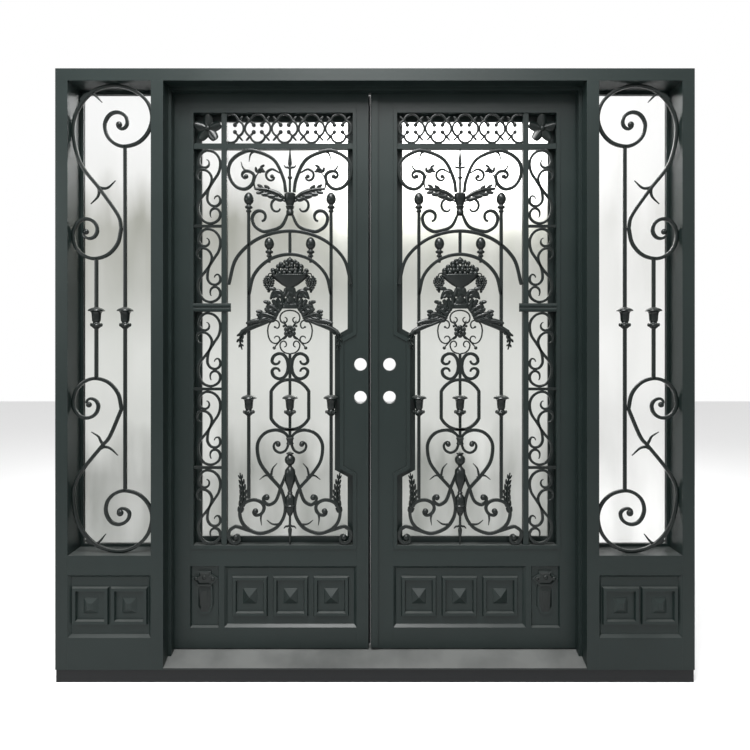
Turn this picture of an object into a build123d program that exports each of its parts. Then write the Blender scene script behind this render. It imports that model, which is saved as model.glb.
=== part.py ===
"""Pair of wrought iron entry doors between two fixed sidelights, in one steel frame on a sill.

X runs along the front, Y from the outside in, Z up. The origin is on the ground, under the middle of the frame.
All sizes are in millimetres.
"""
import os
from math import cos, radians, sin

from build123d import *

os.makedirs("parts", exist_ok=True)

# Frame
frame_width = 2610
frame_height = 2510
frame_depth = 150
frame_face = 50
sidelight_width = 340
sill_height = 55
sill_setback = 8
stop_width = 13
stop_front = 62
stop_depth = 33
threshold_lip = 7
threshold_rise = 26

# Leaves
leaf_thickness = 50
leaf_gap = 5
hinge_stile_width = 75
lock_stile_width = 53
lock_box_width = 55
lock_box_height = 548
lock_box_drop = 97
lock_box_slope = 30
top_rail_height = 74
kick_height = 423
bead_width = 16
bead_height = 5
divider_width = 23
divider_depth = 25
strip_width = 117
meeting_offset = 22
meeting_gap = 5.5
meeting_bevel = 3
meeting_reveal = 3
astragal_width = 29
astragal_height = 7
astragal_inset = 7
lock_bore_radius = 27
lock_bore_spacing = 139.7
lock_bore_height = 1228
lock_backset = 62

# Glazing
sash_width = 24
sash_depth = 13
sash_back_lip = 4
glass_thickness = 6
glass_rebate = 8
glazing_bead_width = 12
glazing_bead_depth = 18
glazing_bead_back = 12
sidelight_glass_inset = 32

# Grilles
bar = 14
light_bar = 11
tendril = 7
wire = 6
grille_setback = 5
collar_depth = 24
band_height = 129
band_bar = 8
band_pitch = 114.3
strip_bar = 12
strip_collar = 36
collar_relief = 8
collar_overhang = 18
flower_thickness = 14
cup_radius = 33
cup_neck = 20
cup_bulb = 25
finial_radius = 17
basket_radius = 80
basket_depth = 26
leaf_plate = 8
sidelight_grille_depth = 34

# Hinges
pin_radius = 5
pin_clearance = 0.3
barrel_radius = 9.5
barrel_gap = 1.5
barrel_sides = 12
knuckle_length = 60
knuckle_gap = 1
wing_width = 38
wing_thickness = 5
hinge_inset = 230

# Lower panels
panel_recess = 12
panel_rail = 74
panel_foot = 88
sidelight_sill_top = 521
side_panel_foot = 130
side_panel_rail = 79
square_strip = 12
square_width = 143
square_height = 163
square_gap = 30
side_square_height = 147
side_square_gap = 16
pyramid_width = 58
pyramid_height = 64
pyramid_trim = 20
cartouche_thickness = 8

# Places that follow from the sizes above
front = -frame_depth / 2
back = frame_depth / 2
half_width = frame_width / 2
jamb_inner = half_width - frame_face
mullion_outer = jamb_inner - sidelight_width
mullion_inner = mullion_outer - frame_face
head_bottom = frame_height - frame_face
stop_inner = mullion_inner - stop_width
threshold_top = sill_height + threshold_lip + threshold_rise

leaf_edge = mullion_inner - leaf_gap
leaf_bottom = threshold_top + leaf_gap
leaf_top = head_bottom - leaf_gap
leaf_front = back - leaf_thickness
opening_outer = leaf_edge - hinge_stile_width - bead_width
kick_top = leaf_bottom + kick_height
opening_bottom = kick_top + bead_width
opening_top = leaf_top - top_rail_height - bead_width
opening_inner = meeting_offset + lock_stile_width + bead_width + meeting_reveal
panel_outer = opening_outer - strip_width - divider_width
panel_center = (panel_outer + opening_inner) / 2
panel_top = opening_top - band_height - divider_width
panel_width = panel_outer - opening_inner
panel_height = panel_top - opening_bottom
grille_y = leaf_front + grille_setback
side_grille_y = front + sidelight_grille_depth
side_height = head_bottom - sidelight_sill_top

# The scrolls are drawn for openings of these sizes, and follow the real ones
PANEL_DRAWING = (535, 1681)
SIDELIGHT_DRAWING = (340, 1939)
STRIP_DRAWING = (117, 322)

# A quarter turn larger than each of these gets one facet more
FACET_LIMITS = (24, 110, 230)

LEAVES = {"left": -1, "right": 1}


def block(x0, x1, y0, y1, z0, z1, mode=Mode.ADD):
    """A plain block between two corners, in the open part."""
    with Locations(((x0 + x1) / 2, (y0 + y1) / 2, (z0 + z1) / 2)):
        Box(abs(x1 - x0), abs(y1 - y0), abs(z1 - z0), mode=mode)


def upright(y):
    """The upright plane at this depth, on which a sketch is drawn as seen from the front."""
    return Plane.XZ.offset(-y)


def facing(x, y, z):
    """An upright plane with its own origin, on which a drawing is seen from the front."""
    return Plane(origin=(x, y, z), x_dir=(1, 0, 0), z_dir=(0, -1, 0))


def pyramid(x, y, z):
    """A blunt pyramid on the floor of a panel's field, which lies at depth y."""
    trim = pyramid_trim
    with Locations((x, y - panel_recess / 2, z)):
        Wedge(
            pyramid_width,
            panel_recess,
            pyramid_height,
            trim,
            trim,
            pyramid_width - trim,
            pyramid_height - trim,
            rotation=(0, 0, 180),
        )


def turned(x, y, z, profile, sides, deepest=1000):
    """A turned casting drawn with few sides, as tapered rings through the (height, radius) steps of its profile.

    Where the radius is more than deepest, the casting is flattened to that depth.
    """
    for rings in zip(profile, profile[1:]):
        corners = []
        for height, radius in rings:
            for count in range(sides):
                turn = radians(360 * (count + 0.5) / sides)
                corners.append((x + radius * cos(turn), y + min(radius, deepest) * sin(turn), z + height))
        ConvexPolyhedron(corners)


def write(piece, name):
    """Names a finished piece and saves it."""
    piece.part.label = name
    export_step(piece.part, f"parts/{name}.step")


def opening_points(side):
    """Outline of the leaf's opening, with the step round the lock box."""
    low = opening_bottom
    high = opening_top
    box_low = lock_bore_height - lock_box_height / 2 - lock_box_drop
    box_high = box_low + lock_box_height
    inner = opening_inner
    return [
        (side * opening_outer, low),
        (side * inner, low),
        (side * inner, box_low - lock_box_slope),
        (side * (inner + lock_box_width), box_low),
        (side * (inner + lock_box_width), box_high),
        (side * inner, box_high + lock_box_slope),
        (side * inner, high),
        (side * opening_outer, high),
    ]


def opening_outline(side, grow=0):
    """The opening as a sketch, moved out by grow, or in where grow is negative."""
    with BuildSketch(Plane.XY) as outline:
        with BuildLine():
            Polyline(*opening_points(side), close=True)
        make_face()
        if grow:
            offset(amount=grow, kind=Kind.INTERSECTION, mode=Mode.REPLACE)
    return outline.sketch


def curl(*points, level=True):
    """Corners of a curl through its outermost points, where the bar runs level and upright by turns.

    Each quarter turn is cut from an ellipse, into one to four straight facets by its size.
    """
    corners = [points[0]]
    for (x0, z0), (x1, z1) in zip(points, points[1:]):
        size = max(abs(x1 - x0), abs(z1 - z0))
        facets = 1 + sum(size > limit for limit in FACET_LIMITS)
        for step in range(1, facets + 1):
            turn = radians(90) * step / facets
            x_share, z_share = (sin(turn), 1 - cos(turn)) if level else (1 - cos(turn), sin(turn))
            corners.append((x0 + x_share * (x1 - x0), z0 + z_share * (z1 - z0)))
        level = not level
    return corners


def fitted(points, drawing, size):
    """Points of a drawing, moved to an opening of another size."""
    return [(x * size[0] / drawing[0], z * size[1] / drawing[1]) for x, z in points]


# Sill base and threshold
with BuildPart() as sill_base:
    block(-half_width, half_width, front + sill_setback, back, 0, sill_height)
write(sill_base, "sill_base")

with BuildPart() as threshold:
    with BuildSketch(Plane.YZ.offset(-mullion_inner)):
        with BuildLine():
            Polyline(
                (front, sill_height),
                (front, sill_height + threshold_lip),
                (front + stop_front + stop_depth, threshold_top),
                (back, threshold_top),
                (back, sill_height),
                close=True,
            )
        make_face()
    extrude(amount=2 * mullion_inner)
    for side in (-1, 1):
        block(
            side * stop_inner,
            side * mullion_inner,
            front + stop_front,
            front + stop_front + stop_depth,
            sill_height,
            threshold_top,
            mode=Mode.SUBTRACT,
        )
write(threshold, "threshold")

# Header with its stop
with BuildPart() as header:
    block(-half_width, half_width, front, back, head_bottom, frame_height)
    block(
        -stop_inner,
        stop_inner,
        front + stop_front,
        front + stop_front + stop_depth,
        head_bottom - stop_width,
        head_bottom,
    )
write(header, "header")

for name, side in LEAVES.items():
    with BuildPart() as jamb:
        block(side * jamb_inner, side * half_width, front, back, sill_height, head_bottom)
    write(jamb, f"{name}_jamb")

    with BuildPart() as mullion:
        block(side * mullion_inner, side * mullion_outer, front, back, sill_height, head_bottom)
        block(
            side * stop_inner,
            side * mullion_inner,
            front + stop_front,
            front + stop_front + stop_depth,
            sill_height,
            head_bottom,
        )
    write(mullion, f"{name}_mullion")

# Sidelights: lower panels, glass and the beads that hold it
glass_front = back - sidelight_glass_inset
side_middle = (mullion_outer + jamb_inner) / 2
side_field_bottom = sill_height + side_panel_foot
side_field_top = sidelight_sill_top - side_panel_rail
side_field_middle = (side_field_bottom + side_field_top) / 2
with BuildPart() as sidelight_panels:
    for side in (-1, 1):
        block(side * mullion_outer, side * jamb_inner, front, back, sill_height, sidelight_sill_top)
        block(
            side * mullion_outer,
            side * jamb_inner,
            front,
            front + panel_recess,
            side_field_bottom,
            side_field_top,
            mode=Mode.SUBTRACT,
        )
        with BuildSketch(upright(front + panel_recess)):
            with Locations((side * side_middle, side_field_middle)):
                with GridLocations(square_width + side_square_gap, 0, 2, 1):
                    Rectangle(square_width, side_square_height)
                    Rectangle(
                        square_width - 2 * square_strip,
                        side_square_height - 2 * square_strip,
                        mode=Mode.SUBTRACT,
                    )
        extrude(amount=panel_recess)
        for step in (-0.5, 0.5):
            pyramid(
                side * side_middle + step * (square_width + side_square_gap),
                front + panel_recess,
                side_field_middle,
            )
write(sidelight_panels, "sidelight_panels")

with BuildPart() as sidelight_beads:
    for side in (-1, 1):
        middle = side * side_middle
        opening_height = head_bottom - sidelight_sill_top
        with BuildSketch(upright(glass_front + glazing_bead_back)):
            with Locations((middle, sidelight_sill_top + opening_height / 2)):
                Rectangle(sidelight_width, opening_height)
                Rectangle(
                    sidelight_width - 2 * glazing_bead_width,
                    opening_height - 2 * glazing_bead_width,
                    mode=Mode.SUBTRACT,
                )
        extrude(amount=glazing_bead_depth)
        with BuildSketch(upright(glass_front + glass_thickness)):
            with Locations((middle, sidelight_sill_top + opening_height / 2)):
                Rectangle(
                    sidelight_width - 2 * glazing_bead_width + 2 * glass_rebate,
                    opening_height - 2 * glazing_bead_width + 2 * glass_rebate,
                )
        extrude(amount=glass_thickness, mode=Mode.SUBTRACT)
write(sidelight_beads, "sidelight_beads")

with BuildPart() as sidelight_glass:
    for side in (-1, 1):
        middle = side * side_middle
        opening_height = head_bottom - sidelight_sill_top
        with BuildSketch(upright(glass_front + glass_thickness)):
            with Locations((middle, sidelight_sill_top + opening_height / 2)):
                Rectangle(
                    sidelight_width - 2 * glazing_bead_width + 2 * glass_rebate,
                    opening_height - 2 * glazing_bead_width + 2 * glass_rebate,
                )
        extrude(amount=glass_thickness)
write(sidelight_glass, "sidelight_glass")

# Drawings of the leaf's grille, seen from the front, from the middle of the panel's foot
def panel_points(points):
    """Points of the panel's drawing at the panel's own size."""
    return fitted(points, PANEL_DRAWING, (panel_width, panel_height))


reach = (1 - bar / panel_width) * PANEL_DRAWING[0] / 2
crown = (1 - bar / panel_height / 2) * PANEL_DRAWING[1]
foot = bar / panel_height / 2 * PANEL_DRAWING[1]
picket_line = 175
inner_finial_line = 88

heavy_bars = {
    "large top scroll": [(18, 1500), (28, 1557), (70, 1637)]
    + curl((155, crown), (reach, 1594), (198, 1511), (152, 1563), (183, 1588), (203, 1571), (189, 1557)),
    "scroll below the collar": [(8, 1407), (38, 1352)]
    + curl((100, 1331), (160, 1384), (130, 1419), (104, 1396), (119, 1375)),
    "outer arch": curl((0, 1333), (reach, 1107)),
    "inner arch": curl((0, 1234), (picket_line, 1062)),
    "stub between the arches": [(0, 1234), (0, 1333)],
    "upper small scroll": curl((7, 758), (42, 812), (76, 782), (60, 767), (44, 781), level=False),
    "lower small scroll": curl((7, 758), (42, 705), (76, 735), (60, 750), (44, 736), level=False),
    "ring": [(0, 701), (45, 690), (80, 652), (80, 534), (45, 500), (0, 489)],
    "picket through the ring": [(0, 440), (0, 812)],
    "heart": [(10, 450)]
    + curl((64, 487), (139, 410))
    + [(100, 319), (52, 263)]
    + curl((33, 222), (81, 171), (112, 195), (98, 208), level=False),
    "large bottom scroll": [(36, 246)]
    + curl((16, 166), (119, 48), (213, 130), (155, 190), (110, 157), (142, 124), (157, 141), level=False),
    "corner scroll": [(160, 52)] + curl((222, 76), (reach, 46), (234, foot), (213, 26), (228, 42)),
    "picket": [(picket_line, 198), (picket_line, 1412)],
    "post of the inner finial": [(inner_finial_line, 1200), (inner_finial_line, 1222)],
}
light_bars = {
    "branch of the top scroll": [(44, 1580)] + curl((72, 1595), (101, 1571), (81, 1548), (66, 1562)),
    "scroll beside the collar": [(20, 1458)] + curl((49, 1471), (79, 1443), (58, 1416), (42, 1428)),
    "volute over the baluster": [(8, 425)] + curl((38, 391), (68, 417), (50, 433), (38, 422)),
}
tendrils = {
    "above the top scroll": [(153, 1671), (169, 1657), (174, 1630)],
    "in the top scroll": [(180, 1588), (200, 1600), (207, 1625)],
    "up from the crossing": [(78, 296), (73, 324), (56, 343)],
    "out from the crossing": [(74, 287), (101, 294), (128, 277)],
    "below the bottom scroll": [(40, 88), (70, 87), (96, 103)],
    "in the bottom scroll": [(111, 148), (123, 116), (121, 83)],
}
rosette = {
    "frame of the rosette": [(0, 996.5), (38, 985), (63, 953), (95, 910), (66, 862), (42, 836), (0, 811)],
    "lower stem": [(12, 892), (64, 838)],
    "upper stem": [(12, 920), (42, 950)],
}
leaf_plates = {
    "leaf under the bowl": [
        (0, 1078), (47, 1076), (76, 1071), (64, 1056), (85, 1044), (102, 1020), (98, 999), (136, 982),
        (127, 961), (174, 952), (187, 935), (170, 914), (119, 927), (76, 952), (38, 1003), (0, 1042),
    ],
    "tail of the leaf": [(170, 926), (208, 893), (212, 859), (200, 833), (193, 859), (174, 884), (136, 914)],
}
castings = {
    "collar": [(0, 1507), (24, 1507), (24, 1474), (14, 1441), (17, 1404), (0, 1398)],
    "collar between the hearts": [(0, 456), (15, 456), (15, 424), (0, 424)],
    "baluster": [
        (0, 388), (14, 388), (14, 378), (22, 366), (22, 350), (10, 338), (10, 328), (23, 300),
        (23, 275), (10, 234), (10, 212), (22, 212), (22, 123), (0, 123),
    ],
    "top spear": [(0, 1681), (5, 1681), (8, 1615), (27, 1613), (27, 1605), (5, 1589), (5, 1500), (0, 1500)],
    "bottom spear": [(0, 0), (5, 0), (8, 66), (27, 68), (27, 76), (5, 92), (5, 130), (0, 130)],
}


def traced(bars, width):
    """Sketch of both halves of the panel's bars of this width."""
    with BuildSketch() as whole:
        for points in bars.values():
            with BuildLine():
                Polyline(*panel_points(points))
            trace(line_width=width)
        mirror(about=Plane.YZ)
        Rectangle(panel_width, panel_height, align=(Align.CENTER, Align.MIN), mode=Mode.INTERSECT)
    return whole.sketch


heavy_drawing = traced(heavy_bars, bar)
light_drawing = traced(light_bars, light_bar)
tendril_drawing = traced(tendrils, tendril)
rosette_drawing = traced(rosette, wire)

def filled(outlines):
    """Sketch of both halves of the panel's flat castings."""
    with BuildSketch() as whole:
        for points in outlines.values():
            with BuildLine():
                Polyline(*panel_points(points), close=True)
            make_face()
        mirror(about=Plane.YZ)
    return whole.sketch


leaf_drawing = filled(leaf_plates)
with BuildSketch() as casting_drawing:
    add(filled(castings))
    with Locations(panel_points([(0, 906)])[0]):
        with PolarLocations(20, 5, start_angle=90):
            RegularPolygon(13, 6)
        RegularPolygon(16, 6)

# Turned castings as (height, radius), drawn with few sides
cup_profile = ((0, 12), (14, cup_bulb), (30, 18), (79, cup_neck), (82, cup_radius), (94, 22))
finial_profile = ((0, 12), (21, 10), (24, finial_radius), (30, finial_radius), (37, 9), (53, finial_radius), (85, 3))
cup_place = 544
picket_top = 1412
post_top = 1222

# Basket and its fruit as (height, half width), from the rosette up
basket_place = 1000
basket_profile = ((0, 40), (15, 40), (40, 10), (75, 12), (95, 22), (142, basket_radius))
fruit_profile = ((142, 70), (180, 64), (208, 36), (222, 8))
grape_profile = ((71, 5), (90, 16), (148, 23))
grape_line = 90


# One unit of the side strip, two S scrolls that lean on the bars round it
strip_reach = (1 - light_bar / strip_width) * STRIP_DRAWING[0] / 2
unit_height = (panel_height - 3 * strip_bar - strip_collar) / 5
strip_top = (1 - light_bar / unit_height / 2) * STRIP_DRAWING[1]
strip_foot = STRIP_DRAWING[1] - strip_top
strip_bars = {
    "upper S": curl((-5, 277), (6, 261), (-13, 243), (-39, 272), (0, strip_top), (strip_reach, 259))
    + [(24, 187)]
    + curl((-2, 114), (29, 79), (strip_reach, 101), (42, 123), (28, 110), level=False),
    "lower S": curl((-29, 188), (-47, 212), (-23, 235), (17, 192))
    + [(-12, 134)]
    + curl((-42, 77), (9, strip_foot), (strip_reach, 42), (31, 70), (10, 49), (15, 32), level=False),
}
with BuildSketch() as strip_drawing:
    for points in strip_bars.values():
        with BuildLine():
            Polyline(*fitted(points, STRIP_DRAWING, (strip_width, unit_height)))
        trace(line_width=light_bar)
    with Locations((0, unit_height / 2)):
        Rectangle(strip_width, unit_height, mode=Mode.INTERSECT)

# From the foot up: two units on bars, the third under the collar, then two more
strip_steps = [opening_bottom]
for rest in (strip_bar, strip_bar, strip_collar, strip_bar):
    strip_steps.append(strip_steps[-1] + unit_height + rest)
collar_bottom = strip_steps[3] - strip_collar

# Corner flower: its side petals, 18 degrees above level, touch the opening
petal_place = strip_width / 4
petal_reach = strip_width / 2 / cos(radians(18))

# Top band: loops side by side, each crossed by four short diagonals
band_cross = 26
band_lobe = (band_height - band_bar) / 2
with BuildSketch() as band_drawing:
    start = (panel_width - band_bar) / 2
    for count in range(int(panel_width / band_pitch) + 2):
        knot = start - count * band_pitch
        for way in (-1, 1):
            with BuildLine():
                Polyline(
                    (knot + way * band_cross, 34),
                    (knot + way * band_bar / 2, 15),
                    (knot + way * band_bar / 2, -15),
                    (knot + way * band_cross, -34),
                )
            trace(line_width=band_bar)
            for up in (-1, 1):
                with BuildLine():
                    Line((knot + way * 40, up * 15), (knot + way * 10, up * 49))
                trace(line_width=band_bar)
        lobe = knot + band_pitch / 2
        for up in (-1, 1):
            with BuildLine():
                Polyline(
                    (lobe - band_pitch / 2 + band_cross, up * 34),
                    (lobe - 18, up * band_lobe),
                    (lobe + 18, up * band_lobe),
                    (lobe + band_pitch / 2 - band_cross, up * 34),
                )
            trace(line_width=band_bar)
    Rectangle(panel_width, band_height, mode=Mode.INTERSECT)


# Lower panel of a leaf: the field for the raised squares, and the cast cartouche beside them
field_bottom = leaf_bottom + panel_foot
field_top = kick_top - panel_rail
field_middle = (field_bottom + field_top) / 2
with BuildSketch() as cartouche:
    with BuildLine():
        Polyline(
            (0, 107), (28, 107), (28, 93), (55, 75), (30, 49), (34, 30), (34, -45), (18, -72), (0, -78), close=True
        )
    make_face()
    mirror(about=Plane.YZ)

# Leaves
pin_x = mullion_inner - leaf_gap / 2
pin_y = back + barrel_gap + barrel_radius
hinge_heights = (
    leaf_bottom + hinge_inset,
    (leaf_bottom + leaf_top) / 2,
    leaf_top - hinge_inset,
)

for name, side in LEAVES.items():
    meeting_back = -meeting_offset + side * meeting_gap / 2
    meeting_front = meeting_back + side * meeting_bevel
    opening = opening_outline(side)
    grown = opening_outline(side, bead_width)
    daylight = opening_outline(side, -sash_width)
    pane = opening_outline(side, glass_rebate - sash_width)

    with BuildPart() as hinge_stile:
        block(
            side * (leaf_edge - hinge_stile_width), side * leaf_edge, leaf_front, back, leaf_bottom, leaf_top
        )
    write(hinge_stile, f"{name}_hinge_stile")

    with BuildPart() as lock_stile:
        with BuildSketch(Plane.XY.offset(leaf_bottom)):
            with BuildLine():
                Polyline(
                    (meeting_back, back),
                    (meeting_front, leaf_front),
                    (side * (opening_inner + lock_box_width - bead_width), leaf_front),
                    (side * (opening_inner + lock_box_width - bead_width), back),
                    close=True,
                )
            make_face()
        extrude(amount=leaf_top - leaf_bottom)
        with BuildSketch(upright(back)):
            add(grown)
            with Locations((side * (opening_inner - bead_width + 100), (leaf_bottom + kick_top) / 2)):
                Rectangle(200, kick_height + 200)
            with Locations((side * (opening_inner - bead_width + 100), leaf_top)):
                Rectangle(200, 2 * top_rail_height)
        extrude(amount=leaf_thickness, mode=Mode.SUBTRACT)
        with BuildSketch(upright(back)):
            for shift in (-0.5, 0.5):
                with Locations((side * lock_backset, lock_bore_height + shift * lock_bore_spacing)):
                    Circle(lock_bore_radius)
        extrude(amount=leaf_thickness, mode=Mode.SUBTRACT)
    write(lock_stile, f"{name}_lock_stile")

    with BuildPart() as top_rail:
        block(
            side * (leaf_edge - hinge_stile_width),
            side * (opening_inner - bead_width),
            leaf_front,
            back,
            leaf_top - top_rail_height,
            leaf_top,
        )
    write(top_rail, f"{name}_top_rail")

    with BuildPart() as kick_panel:
        block(
            side * (leaf_edge - hinge_stile_width),
            side * (opening_inner - bead_width),
            leaf_front,
            back,
            leaf_bottom,
            kick_top,
        )
        for inner, outer in (
            (opening_inner - bead_width, panel_outer + divider_width / 2),
            (panel_outer + 3 * divider_width / 2, leaf_edge - hinge_stile_width),
        ):
            block(
                side * inner,
                side * outer,
                leaf_front,
                leaf_front + panel_recess,
                field_bottom,
                field_top,
                mode=Mode.SUBTRACT,
            )
        squares_middle = side * (opening_inner - bead_width + panel_outer + divider_width / 2) / 2
        with BuildSketch(upright(leaf_front + panel_recess)):
            with Locations((squares_middle, field_middle)):
                with GridLocations(square_width + square_gap, 0, 3, 1):
                    Rectangle(square_width, square_height)
                    Rectangle(square_width - 2 * square_strip, square_height - 2 * square_strip, mode=Mode.SUBTRACT)
        extrude(amount=panel_recess)
        for step in (-1, 0, 1):
            pyramid(squares_middle + step * (square_width + square_gap), leaf_front + panel_recess, field_middle)
        cartouche_middle = side * (panel_outer + 3 * divider_width / 2 + leaf_edge - hinge_stile_width) / 2
        with BuildSketch(upright(leaf_front + panel_recess)):
            with Locations((cartouche_middle, field_middle)):
                add(cartouche.sketch)
        extrude(amount=cartouche_thickness)
    write(kick_panel, f"{name}_kick_panel")

    with BuildPart() as bead:
        with BuildSketch(upright(back)):
            add(grown)
            add(opening, mode=Mode.SUBTRACT)
        extrude(amount=leaf_thickness + bead_height)
    write(bead, f"{name}_bead")

    with BuildPart() as divider_bars:
        block(
            side * panel_outer,
            side * (panel_outer + divider_width),
            leaf_front,
            leaf_front + divider_depth,
            opening_bottom,
            opening_top,
        )
        block(
            side * opening_inner,
            side * opening_outer,
            leaf_front,
            leaf_front + divider_depth,
            panel_top,
            panel_top + divider_width,
        )
        block(
            side * (panel_outer + divider_width),
            side * opening_outer,
            leaf_front,
            leaf_front + divider_depth,
            collar_bottom,
            collar_bottom + strip_collar,
        )
        with BuildSketch(Plane.YZ.offset(side * (panel_outer - collar_overhang))):
            with Locations((leaf_front - collar_relief / 4, collar_bottom + strip_collar / 2)):
                Rectangle(collar_relief / 2, strip_collar)
            with Locations((leaf_front, collar_bottom + strip_collar / 2)):
                with GridLocations(0, strip_collar / 2, 1, 2):
                    Trapezoid(strip_collar / 2, collar_relief, 60, rotation=90, align=(Align.CENTER, Align.MIN))
        extrude(amount=side * (opening_outer - panel_outer + collar_overhang))
    write(divider_bars, f"{name}_divider_bars")

    with BuildPart() as sash:
        with BuildSketch(upright(back)):
            add(opening)
            add(daylight, mode=Mode.SUBTRACT)
        extrude(amount=sash_depth)
        with BuildSketch(upright(back - sash_back_lip)):
            add(pane)
        extrude(amount=glass_thickness, mode=Mode.SUBTRACT)
    write(sash, f"{name}_sash")

    with BuildPart() as glass:
        with BuildSketch(upright(back - sash_back_lip)):
            add(pane)
        extrude(amount=glass_thickness)
    write(glass, f"{name}_glass")

    with BuildPart() as strip_scrolls:
        for z in strip_steps:
            middle = side * (panel_outer + divider_width + strip_width / 2)
            with BuildSketch(facing(middle, grille_y + light_bar / 2, z)):
                add(strip_drawing.sketch if side < 0 else strip_drawing.sketch.mirror(Plane.YZ))
            extrude(amount=light_bar)
        for step in (1, 2, 4):
            block(
                side * (panel_outer + divider_width),
                side * opening_outer,
                grille_y - light_bar / 2,
                grille_y + light_bar / 2,
                strip_steps[step] - strip_bar,
                strip_steps[step],
            )
    write(strip_scrolls, f"{name}_strip_scrolls")

    with BuildPart() as band_lattice:
        middle = side * panel_center
        band_middle = panel_top + divider_width + band_height / 2
        with BuildSketch(facing(middle, grille_y + band_bar / 2, band_middle)):
            add(band_drawing.sketch if side < 0 else band_drawing.sketch.mirror(Plane.YZ))
        extrude(amount=band_bar)
    write(band_lattice, f"{name}_band_lattice")

    with BuildPart() as band_flower:
        middle = side * (opening_outer - strip_width / 2)
        with BuildSketch(upright(grille_y + flower_thickness / 2)):
            with Locations((middle, band_middle)):
                RegularPolygon(strip_width / 5, 5, rotation=90)
                with PolarLocations(petal_place, 5, start_angle=90):
                    RegularPolygon(petal_reach - petal_place, 6)
        extrude(amount=flower_thickness)
        with BuildSketch(upright(grille_y - flower_thickness / 2)):
            with Locations((middle, band_middle)):
                RegularPolygon(strip_width / 9, 8)
        extrude(amount=flower_thickness / 3)
    write(band_flower, f"{name}_band_flower")

    with BuildPart() as scroll_grille:
        for drawing, thickness in (
            (heavy_drawing, bar),
            (light_drawing, light_bar),
            (tendril_drawing, tendril),
            (rosette_drawing, wire),
            (casting_drawing.sketch, collar_depth),
        ):
            with BuildSketch(facing(side * panel_center, grille_y + thickness / 2, opening_bottom)):
                add(drawing)
            extrude(amount=thickness)
    write(scroll_grille, f"{name}_scroll_grille")

    with BuildPart() as picket_cups:
        for line in (-picket_line, 0, picket_line):
            x, z = panel_points([(line, cup_place)])[0]
            turned(side * panel_center + x, grille_y, opening_bottom + z, cup_profile, 8)
            block(
                side * panel_center + x - bar / 2,
                side * panel_center + x + bar / 2,
                grille_y - bar / 2,
                grille_y + bar / 2,
                opening_bottom + z,
                opening_bottom + z + cup_profile[-1][0],
                mode=Mode.SUBTRACT,
            )
    write(picket_cups, f"{name}_picket_cups")

    with BuildPart() as finials:
        for line, top in ((picket_line, picket_top), (inner_finial_line, post_top)):
            for way in (-1, 1):
                x, z = panel_points([(way * line, top)])[0]
                turned(side * panel_center + x, grille_y, opening_bottom + z, finial_profile, 6)
    write(finials, f"{name}_finials")

    with BuildPart() as fruit_basket:
        foot_z = opening_bottom + panel_points([(0, basket_place)])[0][1]
        for profile in (basket_profile, fruit_profile):
            turned(side * panel_center, grille_y, foot_z, profile, 8, basket_depth)
        for way in (-1, 1):
            turned(side * panel_center + way * grape_line, grille_y, foot_z, grape_profile, 6)
        with BuildSketch(facing(side * panel_center, grille_y - bar / 2, opening_bottom)):
            add(leaf_drawing)
        extrude(amount=leaf_plate)
    write(fruit_basket, f"{name}_fruit_basket")

    with BuildPart() as leaf_hinges:
        for z in hinge_heights:
            bottom = z + knuckle_gap / 2
            with BuildSketch(Plane.XY.offset(bottom)):
                with Locations((side * pin_x, pin_y)):
                    RegularPolygon(barrel_radius, barrel_sides)
                with Locations((side * (pin_x - wing_width / 2), back + wing_thickness / 2)):
                    Rectangle(wing_width, wing_thickness)
                with Locations((side * pin_x, pin_y)):
                    RegularPolygon(
                        pin_radius + pin_clearance, barrel_sides, major_radius=False, mode=Mode.SUBTRACT
                    )
            extrude(amount=knuckle_length)
    write(leaf_hinges, f"{name}_leaf_hinges")

    with BuildPart() as frame_hinges:
        for z in hinge_heights:
            with BuildSketch(Plane.XY.offset(z - knuckle_gap / 2 - knuckle_length)):
                with Locations((side * pin_x, pin_y)):
                    RegularPolygon(barrel_radius, barrel_sides)
                with Locations((side * (pin_x + wing_width / 2), back + wing_thickness / 2)):
                    Rectangle(wing_width, wing_thickness)
            extrude(amount=knuckle_length)
            with BuildSketch(Plane.XY.offset(z - knuckle_gap / 2)):
                with Locations((side * pin_x, pin_y)):
                    RegularPolygon(pin_radius, barrel_sides)
            extrude(amount=knuckle_length)
    write(frame_hinges, f"{name}_frame_hinges")

# Astragal on the right leaf, over the gap between the leaves
with BuildPart() as right_astragal:
    start = meeting_gap / 2 + meeting_bevel - meeting_offset
    block(
        start,
        start + astragal_width,
        leaf_front - astragal_height,
        leaf_front,
        leaf_bottom + astragal_inset,
        head_bottom - stop_width - astragal_inset,
    )
write(right_astragal, "right_astragal")

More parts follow.
